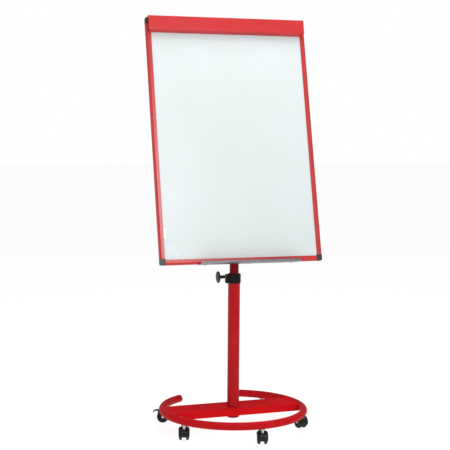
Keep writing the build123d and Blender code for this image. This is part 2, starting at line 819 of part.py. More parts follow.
def at_castor(index, shape):
    """Place a castor piece under the ring, facing along that castor's trail."""
    x, y = on_ring(castor_angles()[index])
    return in_base(Pos(x, y, 0) * Rot(0, 0, castor_trails[index]) * shape)


def assembly():
    """Every node of the easel by name."""
    nodes = {
        "base_ring": in_base(base_ring()),
        "tube_plugs": in_base(tube_plugs()),
        "cross_bar": in_base(cross_bar()),
        "column_tube": in_base(column_tube()),
        "clamp_collar": in_base(clamp_collar()),
        "collar_insert": in_base(collar_insert()),
        "collar_knob": in_base(collar_knob()),
        "knob_screw": in_base(knob_screw()),
        "castor_stems": in_base(castor_stems()),
        "guide_bush": guide_bush(),
        "inner_tube": inner_tube(),
        "lower_guide_ring": lower_guide_ring(),
        "tilt_head": tilt_head(),
        "tilt_washers": on_board(tilt_washers()),
        "tilt_bracket": on_board(tilt_bracket()),
        "tilt_bolt": on_board(tilt_bolt()),
        "tilt_knob": on_board(tilt_knob()),
        "back_beam": on_board(back_beam()),
        "board_screws": on_board(board_screws()),
        "rail_left": on_board(rail_left()),
        "rail_right": on_board(mirror(rail_left(), about=Plane.YZ)),
        "rail_bottom": on_board(rail_bottom()),
        "rail_top": on_board(rail_top()),
        "corner_caps": on_board(corner_caps()),
        "writing_sheet": on_board(writing_sheet()),
        "board_core": on_board(board_core()),
        "back_sheet": on_board(back_sheet()),
        "pen_tray": on_board(pen_tray()),
        "clamp_bar": on_board(clamp_bar()),
        "clamp_knuckles": on_board(clamp_knuckles()),
        "clamp_rod": on_board(clamp_rod()),
        "clamp_hinges": on_board(clamp_hinges()),
        "clamp_springs": on_board(clamp_springs()),
        "pad_pegs": on_board(pad_pegs()),
    }
    for index in range(castor_count):
        name = f"castor_{index + 1}"
        nodes[f"{name}_hood"] = at_castor(index, castor_hood())
        nodes[f"{name}_pins"] = at_castor(index, castor_pins())
        nodes[f"{name}_wheel_a"] = at_castor(index, castor_wheel(1))
        nodes[f"{name}_wheel_b"] = at_castor(index, castor_wheel(-1))
        nodes[f"{name}_pedal"] = at_castor(index, brake_pedal())
    return nodes


os.makedirs("parts", exist_ok=True)
for node, shape in assembly().items():
    export_step(shape, f"parts/{node}.step")
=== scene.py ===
import json
import math

import bpy
from mathutils import Matrix, Vector


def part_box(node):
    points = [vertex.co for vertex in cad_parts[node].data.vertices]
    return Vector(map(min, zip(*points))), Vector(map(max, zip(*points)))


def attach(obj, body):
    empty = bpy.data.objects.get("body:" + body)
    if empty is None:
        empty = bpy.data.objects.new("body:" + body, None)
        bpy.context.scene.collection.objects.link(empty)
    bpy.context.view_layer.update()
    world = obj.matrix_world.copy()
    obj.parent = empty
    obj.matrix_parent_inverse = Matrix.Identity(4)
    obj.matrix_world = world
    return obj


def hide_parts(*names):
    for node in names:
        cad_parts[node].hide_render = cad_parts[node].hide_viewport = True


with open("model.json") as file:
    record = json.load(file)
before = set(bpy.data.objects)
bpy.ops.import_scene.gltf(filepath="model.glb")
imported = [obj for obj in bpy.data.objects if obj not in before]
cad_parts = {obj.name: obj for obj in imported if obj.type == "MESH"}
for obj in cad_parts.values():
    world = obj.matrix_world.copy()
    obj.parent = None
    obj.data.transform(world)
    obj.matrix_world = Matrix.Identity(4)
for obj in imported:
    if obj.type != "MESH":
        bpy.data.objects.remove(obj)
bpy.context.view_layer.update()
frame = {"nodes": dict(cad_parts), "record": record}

# Camera: eye height of a standing person, a little to the left of the board, with a long lens,
# so that the uprights stay nearly parallel.
camera_place = Vector((-1.598, -4.736, 1.292))
heading = math.radians(18.19)
pitch = math.radians(4.96)
roll = math.radians(0.45)
ahead = Vector((
    math.sin(heading) * math.cos(pitch),
    math.cos(heading) * math.cos(pitch),
    -math.sin(pitch),
))
level = Vector((math.cos(heading), -math.sin(heading), 0))
upward = level.cross(ahead)
right = level * math.cos(roll) + upward * math.sin(roll)
top = upward * math.cos(roll) - level * math.sin(roll)
lens = bpy.data.cameras.new("studio_camera")
lens.sensor_width = 36
lens.lens = 96.5
camera = bpy.data.objects.new("studio_camera", lens)
camera.matrix_world = Matrix((
    (right.x, top.x, -ahead.x, camera_place.x),
    (right.y, top.y, -ahead.y, camera_place.y),
    (right.z, top.z, -ahead.z, camera_place.z),
    (0, 0, 0, 1),
))
bpy.context.scene.collection.objects.link(camera)
bpy.context.scene.camera = camera
bpy.context.scene.view_settings.view_transform = "Standard"

# Studio: a wide pale floor, an even white surround that lights less than it shows, and soft boxes in
# front, at the left and overhead, with a narrow strip in front on the right.
bpy.ops.object.select_all(action="DESELECT")
bpy.ops.mesh.primitive_plane_add(size=1, location=(0, 0, 0))
floor = bpy.context.object
floor.name = "studio_floor"
floor.scale = (60, 60, 1)
bpy.ops.object.transform_apply(location=True, rotation=True, scale=True)
floor_paint = bpy.data.materials.new("studio_floor_paint")
floor_paint.use_nodes = True
floor_shader = floor_paint.node_tree.nodes["Principled BSDF"]
floor_shader.inputs["Base Color"].default_value = (0.22, 0.22, 0.22, 1)
floor_shader.inputs["Roughness"].default_value = 0.9
floor_shader.inputs["Specular IOR Level"].default_value = 0.0
floor_shader.inputs["Emission Color"].default_value = (1, 1, 1, 1)
floor_shader.inputs["Emission Strength"].default_value = 0.88
floor.data.materials.append(floor_paint)

surround = bpy.data.worlds.new("studio_surround")
surround.use_nodes = True
tree = surround.node_tree
backdrop = tree.nodes["Background"]
backdrop.inputs["Strength"].default_value = 1.0
fill = tree.nodes.new("ShaderNodeBackground")
fill.inputs["Strength"].default_value = 0.4
seen = tree.nodes.new("ShaderNodeLightPath")
either = tree.nodes.new("ShaderNodeMixShader")
tree.links.new(seen.outputs["Is Camera Ray"], either.inputs["Fac"])
tree.links.new(fill.outputs["Background"], either.inputs[1])
tree.links.new(backdrop.outputs["Background"], either.inputs[2])
tree.links.new(either.outputs["Shader"], tree.nodes["World Output"].inputs["Surface"])
for sky in (backdrop, fill):
    sky.inputs["Color"].default_value = (1, 1, 1, 1)
bpy.context.scene.world = surround


def soft_box(name, place, target, size, power):
    """Square area light that faces a point."""
    light = bpy.data.lights.new(name, "AREA")
    light.shape = "RECTANGLE"
    light.size, light.size_y = size
    light.energy = power
    lamp = bpy.data.objects.new(name, light)
    lamp.location = place
    aim = Vector(target) - Vector(place)
    lamp.rotation_euler = aim.to_track_quat("-Z", "Y").to_euler()
    bpy.context.scene.collection.objects.link(lamp)


soft_box("front_box", (-0.6, -4.6, 3.4), (0, 0, 0.9), (2.4, 1.6), 34)
soft_box("left_box", (-3.4, -1.6, 1.8), (0, 0, 0.9), (1.6, 2.4), 10)
soft_box("top_box", (0.2, -0.4, 4.2), (0, 0, 0.6), (2.5, 2.5), 96)
soft_box("strip_box", (0.66, -3.5, 2.42), (-0.3, -0.1, 1.0), (0.4, 1.3), 25)


# Base: a 32 mm steel tube bent into a ring, open behind, with a folded steel channel welded across it
# to carry the column. All of it is powder coated together, which leaves a fine orange peel.
def put_node(tree, kind, place, **values):
    """One node with its settings and its unlinked sockets."""
    made = tree.nodes.new(kind)
    made.location = place
    for key, value in values.items():
        if hasattr(made, key):
            setattr(made, key, value)
        else:
            made.inputs[key.replace("_", " ")].default_value = value
    return made


def two_tones(tree, source, low, high, start, end, place):
    """Colour ramp between two tones, fed by a grey value."""
    ramp = put_node(tree, "ShaderNodeValToRGB", place)
    ramp.color_ramp.elements[0].position = start
    ramp.color_ramp.elements[0].color = low
    ramp.color_ramp.elements[1].position = end
    ramp.color_ramp.elements[1].color = high
    tree.links.new(source, ramp.inputs["Fac"])
    return ramp.outputs["Color"]


def spread(tree, source, low, high, place):
    """Grey value stretched to a range, such as a roughness."""
    scale = put_node(tree, "ShaderNodeMapRange", place)
    scale.inputs["From Min"].default_value = 0.3
    scale.inputs["From Max"].default_value = 0.7
    scale.inputs["To Min"].default_value = low
    scale.inputs["To Max"].default_value = high
    tree.links.new(source, scale.inputs["Value"])
    return scale.outputs["Result"]


def coated(name, deep, light, rough, gloss, peel_scale, peel_height,
           stretch=(1, 1, 1), turn=(0, 0, 0)):
    """Paint or plastic: clouded colour, uneven gloss and a fine surface relief."""
    speck_scale = peel_scale * 0.35
    made = bpy.data.materials.new(name)
    made.use_nodes = True
    tree = made.node_tree
    shader = tree.nodes["Principled BSDF"]
    shader.inputs["Specular IOR Level"].default_value = gloss
    where = put_node(tree, "ShaderNodeTexCoord", (-1200, 0))
    lay = put_node(tree, "ShaderNodeMapping", (-1000, 0))
    lay.inputs["Rotation"].default_value = turn
    lay.inputs["Scale"].default_value = stretch
    tree.links.new(where.outputs["Object"], lay.inputs["Vector"])
    cloud = put_node(tree, "ShaderNodeTexNoise", (-780, 200), Scale=9.0, Detail=5.0, Roughness=0.6)
    peel = put_node(tree, "ShaderNodeTexNoise", (-780, -60), Scale=peel_scale, Detail=3.0, Roughness=0.5)
    specks = put_node(
        tree, "ShaderNodeTexNoise", (-780, -320), Scale=speck_scale, Detail=6.0, Roughness=0.7
    )
    for texture in (cloud, peel, specks):
        tree.links.new(lay.outputs["Vector"], texture.inputs["Vector"])
    colour = two_tones(tree, cloud.outputs["Fac"], deep, light, 0.35, 0.65, (-500, 200))
    tree.links.new(colour, shader.inputs["Base Color"])
    gloss_map = spread(tree, specks.outputs["Fac"], rough[0], rough[1], (-500, -320))
    tree.links.new(gloss_map, shader.inputs["Roughness"])
    relief = put_node(tree, "ShaderNodeBump", (-260, -200), Strength=0.35, Distance=peel_height)
    tree.links.new(peel.outputs["Fac"], relief.inputs["Height"])
    tree.links.new(relief.outputs["Normal"], shader.inputs["Normal"])
    return made


def dress(material, *nodes):
    """Give CAD nodes a material."""
    for node in nodes:
        piece = frame["nodes"][node]
        piece.data.materials.clear()
        piece.data.materials.append(material)


base_red = coated(
    "powder_coat_red", (0.45, 0.007, 0.010, 1), (0.52, 0.009, 0.013, 1), (0.40, 0.52), 0.04, 620, 0.00012
)
dress(base_red, "base_ring")
# The cross bar gets a lighter copy of the ring's red: painted light for the light falling on its top.
bar_red_painted_light = coated(
    "folded_bar_red_painted_light", (0.60, 0.006, 0.010, 1), (0.68, 0.008, 0.013, 1), (0.48, 0.60), 0.012, 620, 0.00012
)
dress(bar_red_painted_light, "cross_bar")

# Tube plugs: red plastic mouldings pressed into the ring's two ends and the foot of the column. They
# are smoother than the coat, with a slightly different red.
plug_red = coated(
    "plug_red_plastic", (0.42, 0.007, 0.010, 1), (0.48, 0.009, 0.012, 1), (0.38, 0.5), 0.08, 900, 0.0001
)
dress(plug_red, "tube_plugs")

# Column: a welded 50 mm steel tube in the same coat, drawn along its length, so the coat shows faint
# upright streaks. The 38 mm inner tube that slides in it is painted darker: painted shade for the shadow
# under the tray.
column_red = coated(
    "column_red", (0.42, 0.007, 0.011, 1), (0.49, 0.010, 0.015, 1), (0.34, 0.46), 0.10, 620, 0.0001,
    (6, 6, 0.6),
)
dress(column_red, "column_tube")
inner_red_painted_shade = coated(
    "inner_tube_red_painted_shade", (0.20, 0.003, 0.005, 1), (0.27, 0.004, 0.007, 1), (0.24, 0.36), 0.06, 700, 0.00008,
    (6, 6, 0.6),
)
dress(inner_red_painted_shade, "inner_tube")

# Collar, bush, guide ring, pivot head, hinge blocks, knuckles and pad pegs: black nylon mouldings with
# a fine spark-eroded grain from the mould.
nylon_black = coated(
    "moulded_black_nylon", (0.006, 0.007, 0.006, 1), (0.012, 0.013, 0.011, 1), (0.42, 0.58), 0.12, 1500,
    0.00015,
)
dress(nylon_black, "clamp_collar", "guide_bush", "lower_guide_ring", "tilt_head", "clamp_hinges",
      "clamp_knuckles", "pad_pegs")

# Column clamp knob: one phenolic moulding, a fluted disc with a domed face on a slim hub that is
# bored for the screw. A shallow groove runs round the dome.
joints = {joint["name"]: joint for joint in frame["record"]["behaviour"]["joints"]}


def pick_faces(piece, test):
    """Select the faces whose middle and normal pass a test, and go into edit mode."""
    bpy.ops.object.mode_set(mode="EDIT")
    bpy.ops.mesh.select_mode(type="FACE")
    bpy.ops.mesh.select_all(action="DESELECT")
    bpy.ops.object.mode_set(mode="OBJECT")
    for face in piece.data.polygons:
        face.select = test(face.center, face.normal)
    bpy.ops.object.mode_set(mode="EDIT")


def pick_points(piece, test):
    """Select the corners that pass a test, and go into edit mode."""
    bpy.ops.object.mode_set(mode="EDIT")
    bpy.ops.mesh.select_mode(type="VERT")
    bpy.ops.mesh.select_all(action="DESELECT")
    bpy.ops.object.mode_set(mode="OBJECT")
    for point in piece.data.vertices:
        point.select = test(point.co)
    bpy.ops.object.mode_set(mode="EDIT")


def step_in(distance, sink=0.0):
    """Draw a ring of faces inside the chosen face, sunk if asked."""
    bpy.ops.mesh.inset(thickness=distance, depth=-sink)


def push(height):
    """Pull the chosen faces out along Z, or sink them."""
    bpy.ops.mesh.extrude_region_move(TRANSFORM_OT_translate={"value": (0, 0, height)})


def round_rim(width, steps):
    """Round the edge of the chosen face."""
    bpy.ops.mesh.bevel(offset=width, offset_type="OFFSET", segments=steps, profile=0.5, affect="EDGES")


def turned_start(name, radius, length, facets, place=(0, 0, 0)):
    """A round blank to shape, with nothing else selected."""
    bpy.ops.object.select_all(action="DESELECT")
    bpy.ops.mesh.primitive_cylinder_add(vertices=facets, radius=radius, depth=length, location=place)
    blank = bpy.context.object
    blank.name = name
    return blank


def flute(piece, count, depth, half_width, inside):
    """Pull the corners of a rim of 144 facets in, so many times round it, deepest in mid hollow."""
    pitch = 360 / count
    facet = 360 / 144
    margin = 1.2
    for step in range(int(half_width / facet) + 1):
        middle = step * facet

        def in_hollow(place):
            turn = math.degrees(math.atan2(place.y, place.x)) % pitch
            on_facet = abs(min(turn, pitch - turn) - middle) < margin
            return on_facet and math.hypot(place.x, place.y) > inside

        share = 1 - depth * math.cos(math.pi / 2 * middle / half_width) ** 2
        pick_points(piece, in_hollow)
        bpy.ops.transform.resize(value=(share, share, 1), center_override=(0, 0, 0))
    bpy.ops.object.mode_set(mode="OBJECT")


def seat(piece, along, place):
    """Turn a piece's Z to a direction, move it, and leave its place in its mesh."""
    bpy.ops.object.mode_set(mode="OBJECT")
    bpy.ops.object.select_all(action="DESELECT")
    piece.select_set(True)
    bpy.context.view_layer.objects.active = piece
    piece.location = place
    piece.rotation_euler = Vector(along).to_track_quat("Z", "Y").to_euler()
    bpy.ops.object.transform_apply(location=True, rotation=True, scale=True)


knob_radius = 0.0245
knob_end = 0.076
knob_disc = 0.0075
knob_rim = 0.0052
front_edge = 0.0018
back_edge = 0.0012
back_ring = 0.003
hub_radius = 0.0068
hub_length = 0.027
hub_edge = 0.0010
screw_bore = 0.0041
knob = turned_start("column_knob", knob_radius, knob_rim, 144)
pick_faces(knob, lambda middle, normal: normal.z > 0.9)
round_rim(front_edge, 4)

# Dome: the width of each ring towards the middle, and how far it sinks, so a minus rises.
dome_rings = (
    (0.0035, -0.0009), (0.004, -0.0007), (0.0018, 0.0004),
    (0.0006, -0.0004), (0.004, -0.0005), (0.004, -0.0002),
)
pick_faces(knob, lambda middle, normal: normal.z > 0.999 and middle.length < knob_rim)
for width, sink in dome_rings:
    step_in(width, sink)

# Back: a shallow recess round the hub, which is drawn out and bored.
pick_faces(knob, lambda middle, normal: normal.z < -0.9)
round_rim(back_edge, 3)
pick_faces(knob, lambda middle, normal: normal.z < -0.999 and middle.length < knob_rim)
step_in(back_ring)
step_in(back_ring, back_edge)
step_in(knob_radius - back_edge - 2 * back_ring - hub_radius, -back_edge)
push(-hub_length)
round_rim(hub_edge, 2)
pick_faces(knob, lambda middle, normal: normal.z < -0.999 and middle.length > hub_length)
step_in(hub_radius - hub_edge - screw_bore)
push(hub_length)
flute(knob, 12, 0.08, 7.5, knob_radius - 0.0022)
turn_axis = Vector(joints["column_clamp_knob"]["axis"])
axle_height = joints["column_clamp_knob"]["pos_m"][2]
knob_reach = knob_end - knob_disc + knob_rim / 2
seat(knob, turn_axis, turn_axis * knob_reach + Vector((0, 0, axle_height)))
bpy.ops.object.shade_smooth_by_angle(angle=math.radians(38))
knob_phenolic = coated(
    "knob_phenolic", (0.007, 0.008, 0.007, 1), (0.014, 0.015, 0.013, 1), (0.30, 0.46), 0.25, 1500, 0.0001
)
knob.data.materials.append(knob_phenolic)
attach(knob, joints["column_clamp_knob"]["child"])
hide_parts("collar_knob")

# Tilt clamp knob: a six-lobed phenolic moulding on a short hub, bored from behind. It is threaded on
# the end of the tilt bolt and draws the bracket's cheeks together.
lobe_radius = 0.021
lobe_edge = 0.003
tilt_hub = 0.0117
tilt_hub_radius = lobe_radius / 2
tilt_hub_edge = 0.0008
bolt_bore = 0.0066
end_wall = 0.004
near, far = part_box("tilt_knob")
knob_whole = far[0] - near[0]
lobed = turned_start("tilt_hand_wheel", lobe_radius, knob_whole - tilt_hub, 144)
pick_faces(lobed, lambda middle, normal: normal.z > 0.9)
round_rim(lobe_edge, 4)
pick_faces(lobed, lambda middle, normal: normal.z > 0.999 and middle.length < knob_whole)
for width, sink in ((0.004, 0.0), (0.001, 0.0006), (0.005, 0.0004)):
    step_in(width, sink)
pick_faces(lobed, lambda middle, normal: normal.z < -0.9)
round_rim(lobe_edge, 4)
pick_faces(lobed, lambda middle, normal: normal.z < -0.999 and middle.length < knob_whole)
step_in(lobe_radius - lobe_edge - tilt_hub_radius)
push(-tilt_hub)
round_rim(tilt_hub_edge, 2)
pick_faces(lobed, lambda middle, normal: normal.z < -0.999 and middle.z < -knob_whole / 2)
step_in(tilt_hub_radius - tilt_hub_edge - bolt_bore)
push(knob_whole - end_wall)
flute(lobed, 6, 0.14, 17.5, 0.012)
middle_x = near[0] + (knob_whole - tilt_hub) / 2
tilt_axle = joints["tilt_clamp_knob"]
seat(lobed, tilt_axle["axis"], Vector((middle_x, 0, tilt_axle["pos_m"][2])))
bpy.ops.object.shade_smooth_by_angle(angle=math.radians(38))
lobed.data.materials.append(knob_phenolic)
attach(lobed, tilt_axle["child"])
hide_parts("tilt_knob")


# Screws, bolt, hinge rod and castor stems: turned or headed steel with bright zinc plate, which
# keeps fine tool lines under the plating.
def bare_metal(name, dark, bright, rough, stretch, scale):
    """Metal with fine drawn or turned lines."""
    made = bpy.data.materials.new(name)
    made.use_nodes = True
    tree = made.node_tree
    shader = tree.nodes["Principled BSDF"]
    shader.inputs["Metallic"].default_value = 1.0
    where = put_node(tree, "ShaderNodeTexCoord", (-1200, 0))
    lay = put_node(tree, "ShaderNodeMapping", (-1000, 0))
    lay.inputs["Scale"].default_value = stretch
    tree.links.new(where.outputs["Object"], lay.inputs["Vector"])
    lines = put_node(tree, "ShaderNodeTexNoise", (-780, 0), Scale=scale, Detail=6.0, Roughness=0.65)
    patches = put_node(tree, "ShaderNodeTexNoise", (-780, 260), Scale=14.0, Detail=4.0)
    tree.links.new(lay.outputs["Vector"], lines.inputs["Vector"])
    tree.links.new(where.outputs["Object"], patches.inputs["Vector"])
    colour = two_tones(tree, patches.outputs["Fac"], dark, bright, 0.35, 0.65, (-500, 260))
    tree.links.new(colour, shader.inputs["Base Color"])
    gloss_map = spread(tree, lines.outputs["Fac"], rough[0], rough[1], (-500, 0))
    tree.links.new(gloss_map, shader.inputs["Roughness"])
    relief = put_node(tree, "ShaderNodeBump", (-260, -200), Strength=0.25, Distance=0.00005)
    tree.links.new(lines.outputs["Fac"], relief.inputs["Height"])
    tree.links.new(relief.outputs["Normal"], shader.inputs["Normal"])
    return made


zinc = bare_metal(
    "zinc_plated_steel", (0.45, 0.46, 0.48, 1), (0.60, 0.61, 0.62, 1), (0.22, 0.38), (1, 1, 1), 900
)
dress(zinc, "knob_screw", "castor_stems", "tilt_bolt", "clamp_rod")

# Board screws: zinc-plated, with a low domed head and a round driving socket. They hold the beam, the
# tilt bracket and the pen tray.
screw_head = 0.004
head_area = math.pi * screw_head**2
tilt = math.radians(14.1)
outward = Vector((0, math.cos(tilt), -math.sin(tilt)))
downward = Vector((0, -math.sin(tilt), -math.cos(tilt)))
bpy.ops.object.select_all(action="DESELECT")
fixed = frame["nodes"]["board_screws"]
fixed.select_set(True)
bpy.context.view_layer.objects.active = fixed
bpy.ops.object.duplicate()
screws = bpy.context.object
screws.name = "domed_screws"
bpy.ops.object.mode_set(mode="EDIT")
bpy.ops.mesh.select_all(action="SELECT")
bpy.ops.mesh.remove_doubles(threshold=0.00001)
bpy.ops.mesh.dissolve_limited(angle_limit=math.radians(1))
bpy.ops.mesh.select_mode(type="FACE")
bpy.ops.mesh.select_all(action="DESELECT")
bpy.ops.object.mode_set(mode="OBJECT")
for face in screws.data.polygons:
    facing = max(face.normal.dot(outward), face.normal.dot(downward))
    face.select = facing > 0.99 and face.area > head_area * 0.3 and len(face.vertices) > 12
bpy.ops.object.mode_set(mode="EDIT")
for width, sink in ((0.0009, 0.0), (0.0003, 0.0004), (0.0001, 0.0008)):
    step_in(width, sink)
seat(screws, (0, 0, 1), (0, 0, 0))
bpy.ops.object.shade_smooth_by_angle(angle=math.radians(30))
screws.data.materials.clear()
screws.data.materials.append(zinc)
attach(screws, "board")
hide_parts("board_screws")

# Thread insert and washers: turned brass pressed into the collar's boss for the clamp screw, and
# brown fibre washers that give the tilt pivot its friction.
brass = bare_metal(
    "turned_brass", (0.60, 0.40, 0.14, 1), (0.78, 0.56, 0.24, 1), (0.2, 0.35), (8, 1, 1), 500
)
dress(brass, "collar_insert")
fibre = coated(
    "friction_fibre", (0.12, 0.07, 0.04, 1), (0.20, 0.12, 0.07, 1), (0.7, 0.85), 0.2, 1800, 0.0002
)
dress(fibre, "tilt_washers")

# Tilt bracket and back beam: a bracket folded from steel sheet and a flat box section up the middle of
# the back, screwed together and coated like the base.
dress(base_red, "tilt_bracket", "back_beam")

# Frame: an aluminium extrusion with a flat inner face and a sloped outer edge, painted glossy red.
# The die leaves faint lines along each rail. The pad clamp's bar is painted with it.
# The two copies of this one paint are tinted apart as painted light: the level one is lighter, for the
# light on the up-facing clamp bar, and the upright one pinker, for the sheen down the rails.
upright_red_painted_sheen = coated(
    "frame_paint_upright_painted_sheen", (0.46, 0.030, 0.030, 1), (0.51, 0.038, 0.038, 1), (0.20, 0.32), 0.5, 700,
    0.00003, (8, 8, 0.5), (tilt, 0, 0),
)
level_red_painted_light = coated(
    "frame_paint_level_painted_light", (0.50, 0.024, 0.026, 1), (0.56, 0.032, 0.034, 1), (0.20, 0.32), 0.4, 700,
    0.00003, (0.5, 8, 8), (tilt, 0, 0),
)
dress(upright_red_painted_sheen, "rail_left", "rail_right")
dress(level_red_painted_light, "rail_bottom", "rail_top", "clamp_bar")

# Clamp springs: two torsion springs of 1 mm drawn wire, wound on the hinge rod outside the outer hinge
# blocks. One leg of each bears on the frame and the other under the top of the clamp bar.
wire_radius = 0.0005
coil_radius = 0.00265
coil_pitch = 0.0013
coil_turns = 8
coil_run = coil_pitch * coil_turns
frame_leg = 0.003
bar_leg = -0.005
hinge_axis = Vector(joints["pad_clamp_hinge"]["pos_m"])
coil_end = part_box("clamp_springs")[1][0]
bpy.ops.object.select_all(action="DESELECT")
bpy.ops.mesh.primitive_circle_add(
    vertices=10, radius=wire_radius, location=(0, 0, 0), rotation=(math.radians(90), 0, 0)
)
spring = bpy.context.object
spring.name = "wound_springs"
bpy.ops.object.transform_apply(location=True, rotation=True, scale=True)
bpy.ops.object.mode_set(mode="EDIT")
bpy.ops.mesh.select_all(action="SELECT")
bpy.ops.transform.translate(value=(0, 0, coil_radius))
bpy.ops.object.mode_set(mode="OBJECT")
winding = spring.modifiers.new("winding", "SCREW")
winding.axis = "X"
winding.angle = math.radians(360)
winding.screw_offset = coil_pitch
winding.iterations = coil_turns
winding.steps = winding.render_steps = 20
bpy.ops.object.modifier_apply(modifier="winding")
bpy.ops.object.mode_set(mode="EDIT")
bpy.ops.mesh.select_all(action="SELECT")
bpy.ops.mesh.remove_doubles(threshold=0.000001)
bpy.ops.mesh.fill_holes(sides=0)
bpy.ops.mesh.normals_make_consistent(inside=False)


def on_wire_end(middle, normal):
    """The cut face of the wire at this end of the coil."""
    upright = abs(normal.y) > 0.9 and middle.z > coil_radius - 0.0001
    return upright and abs(middle.x - end_place) < wire_radius / 2


for end_place, reach in ((0, frame_leg), (coil_run, bar_leg)):
    pick_faces(spring, on_wire_end)
    bpy.ops.mesh.extrude_region_move(TRANSFORM_OT_translate={"value": (0, reach, 0)})
bpy.ops.object.mode_set(mode="OBJECT")
spring.location = (coil_end - coil_run - wire_radius, hinge_axis.y, hinge_axis.z)
spring.rotation_euler = (-tilt, 0, 0)
bpy.ops.object.transform_apply(location=True, rotation=True, scale=True)
other = spring.modifiers.new("other_side", "MIRROR")
other.use_mirror_merge = False
bpy.ops.object.modifier_apply(modifier="other_side")
bpy.ops.object.shade_smooth_by_angle(angle=math.radians(50))
spring.data.materials.append(
    bare_metal("spring_wire", (0.30, 0.31, 0.33, 1), (0.45, 0.46, 0.48, 1), (0.25, 0.4), (1, 1, 1), 900)
)
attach(spring, "board")
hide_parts("clamp_springs")

# Corner caps: black plastic mouldings that close the frame's four corners. They are glossier than the
# nylon parts.
cap_black = coated(
    "corner_cap_black", (0.020, 0.026, 0.023, 1), (0.036, 0.044, 0.040, 1), (0.30, 0.42), 0.40, 1300, 0.0001
)
dress(cap_black, "corner_caps")

# Writing sheet: white enamelled steel, glued to the core. The enamel is smooth, slightly hazy, and
# duller where ink has been wiped off.
enamel = bpy.data.materials.new("white_enamel")
enamel.use_nodes = True
tree = enamel.node_tree
shader = tree.nodes["Principled BSDF"]
where = put_node(tree, "ShaderNodeTexCoord", (-1400, 0))
lay = put_node(tree, "ShaderNodeMapping", (-1200, 0))
lay.inputs["Rotation"].default_value = (tilt, 0, 0)
tree.links.new(where.outputs["Object"], lay.inputs["Vector"])
haze = put_node(tree, "ShaderNodeTexNoise", (-900, 200), Scale=2.2, Detail=3.0, Roughness=0.5)
wipes = put_node(
    tree, "ShaderNodeTexNoise", (-900, -60), Scale=5.0, Detail=8.0, Roughness=0.7, Distortion=1.4
)
ripple = put_node(tree, "ShaderNodeTexNoise", (-900, -320), Scale=60.0, Detail=2.0)
for texture in (haze, wipes, ripple):
    tree.links.new(lay.outputs["Vector"], texture.inputs["Vector"])
shader.inputs["Specular IOR Level"].default_value = 0.12
clean = two_tones(
    tree, haze.outputs["Fac"], (0.64, 0.685, 0.675, 1), (0.665, 0.72, 0.73, 1), 0.3, 0.7, (-600, 200)
)

# Protective film left in the sheet's lower left corner: a faint triangle with broken bars along its long
# edge. Above it, beside the rail, a bright band is a painted highlight for a light's reflection in the
# enamel.
pivot_height = joints["board_tilt"]["pos_m"][2]
visible_foot = 0.2065
film_leg = 0.095
bar_pitch = 0.0135
glare_height = 0.108
corner = put_node(tree, "ShaderNodeMapping", (-1200, 600))
corner.inputs["Rotation"].default_value = (tilt, 0, 0)
corner.inputs["Location"].default_value = (
    -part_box("rail_left")[1][0], 0, visible_foot - pivot_height * math.cos(tilt)
)
tree.links.new(where.outputs["Object"], corner.inputs["Vector"])
sides = put_node(tree, "ShaderNodeSeparateXYZ", (-1000, 600))
tree.links.new(corner.outputs["Vector"], sides.inputs["Vector"])


def sum_up(tree, kind, first, second, place):
    """One sum on grey values; each term is a socket or a number."""
    made = put_node(tree, "ShaderNodeMath", place)
    made.operation = kind
    for term, socket in zip((first, second), made.inputs):
        if isinstance(term, (int, float)):
            socket.default_value = term
        else:
            tree.links.new(term, socket)
    return made.outputs["Value"]


def fade(tree, source, start, end, place):
    """One before the start, falling smoothly to nothing at the end."""
    made = put_node(tree, "ShaderNodeMapRange", place)
    made.interpolation_type = "SMOOTHSTEP"
    made.inputs["From Min"].default_value = start
    made.inputs["From Max"].default_value = end
    made.inputs["To Min"].default_value = 1
    made.inputs["To Max"].default_value = 0
    tree.links.new(source, made.inputs["Value"])
    return made.outputs["Result"]


out, up = sides.outputs["X"], sides.outputs["Z"]
from_corner = sum_up(tree, "ADD", out, up, (-800, 700))
along_edge = sum_up(tree, "SUBTRACT", out, up, (-800, 500))
film = fade(tree, from_corner, film_leg - 0.001, film_leg + 0.001, (-600, 700))
wave = sum_up(tree, "PINGPONG", from_corner, bar_pitch / 2, (-600, 500))
stripe = fade(tree, wave, 0.0022, 0.0034, (-400, 500))
dash_place = put_node(tree, "ShaderNodeCombineXYZ", (-600, 900))
tree.links.new(along_edge, dash_place.inputs["X"])
tree.links.new(sum_up(tree, "SNAP", from_corner, bar_pitch, (-700, 1000)), dash_place.inputs["Y"])
dashes = put_node(tree, "ShaderNodeTexNoise", (-400, 900), Scale=46.0, Detail=1.0)
tree.links.new(dash_place.outputs["Vector"], dashes.inputs["Vector"])
dash = fade(tree, dashes.outputs["Fac"], 0.50, 0.54, (-200, 900))
bars = sum_up(tree, "MULTIPLY", sum_up(tree, "MULTIPLY", stripe, dash, (-200, 500)), film, (0, 500))
beside_rail = fade(tree, out, 0.008, 0.012, (-400, 1200))
# Painted highlight: a bright band beside the left rail, a light's reflection in the enamel painted into the
# colour.
from_glare = sum_up(tree, "SUBTRACT", up, glare_height, (-600, 1400))
glare_span = sum_up(tree, "ABSOLUTE", from_glare, 0, (-500, 1400))
along_glare = fade(tree, glare_span, 0.018, 0.026, (-400, 1400))
painted_glare = sum_up(tree, "MULTIPLY", beside_rail, along_glare, (-200, 1200))
colour = clean
film_tone = (0.665, 0.725, 0.75, 1)
bar_tone = (0.57, 0.62, 0.63, 1)
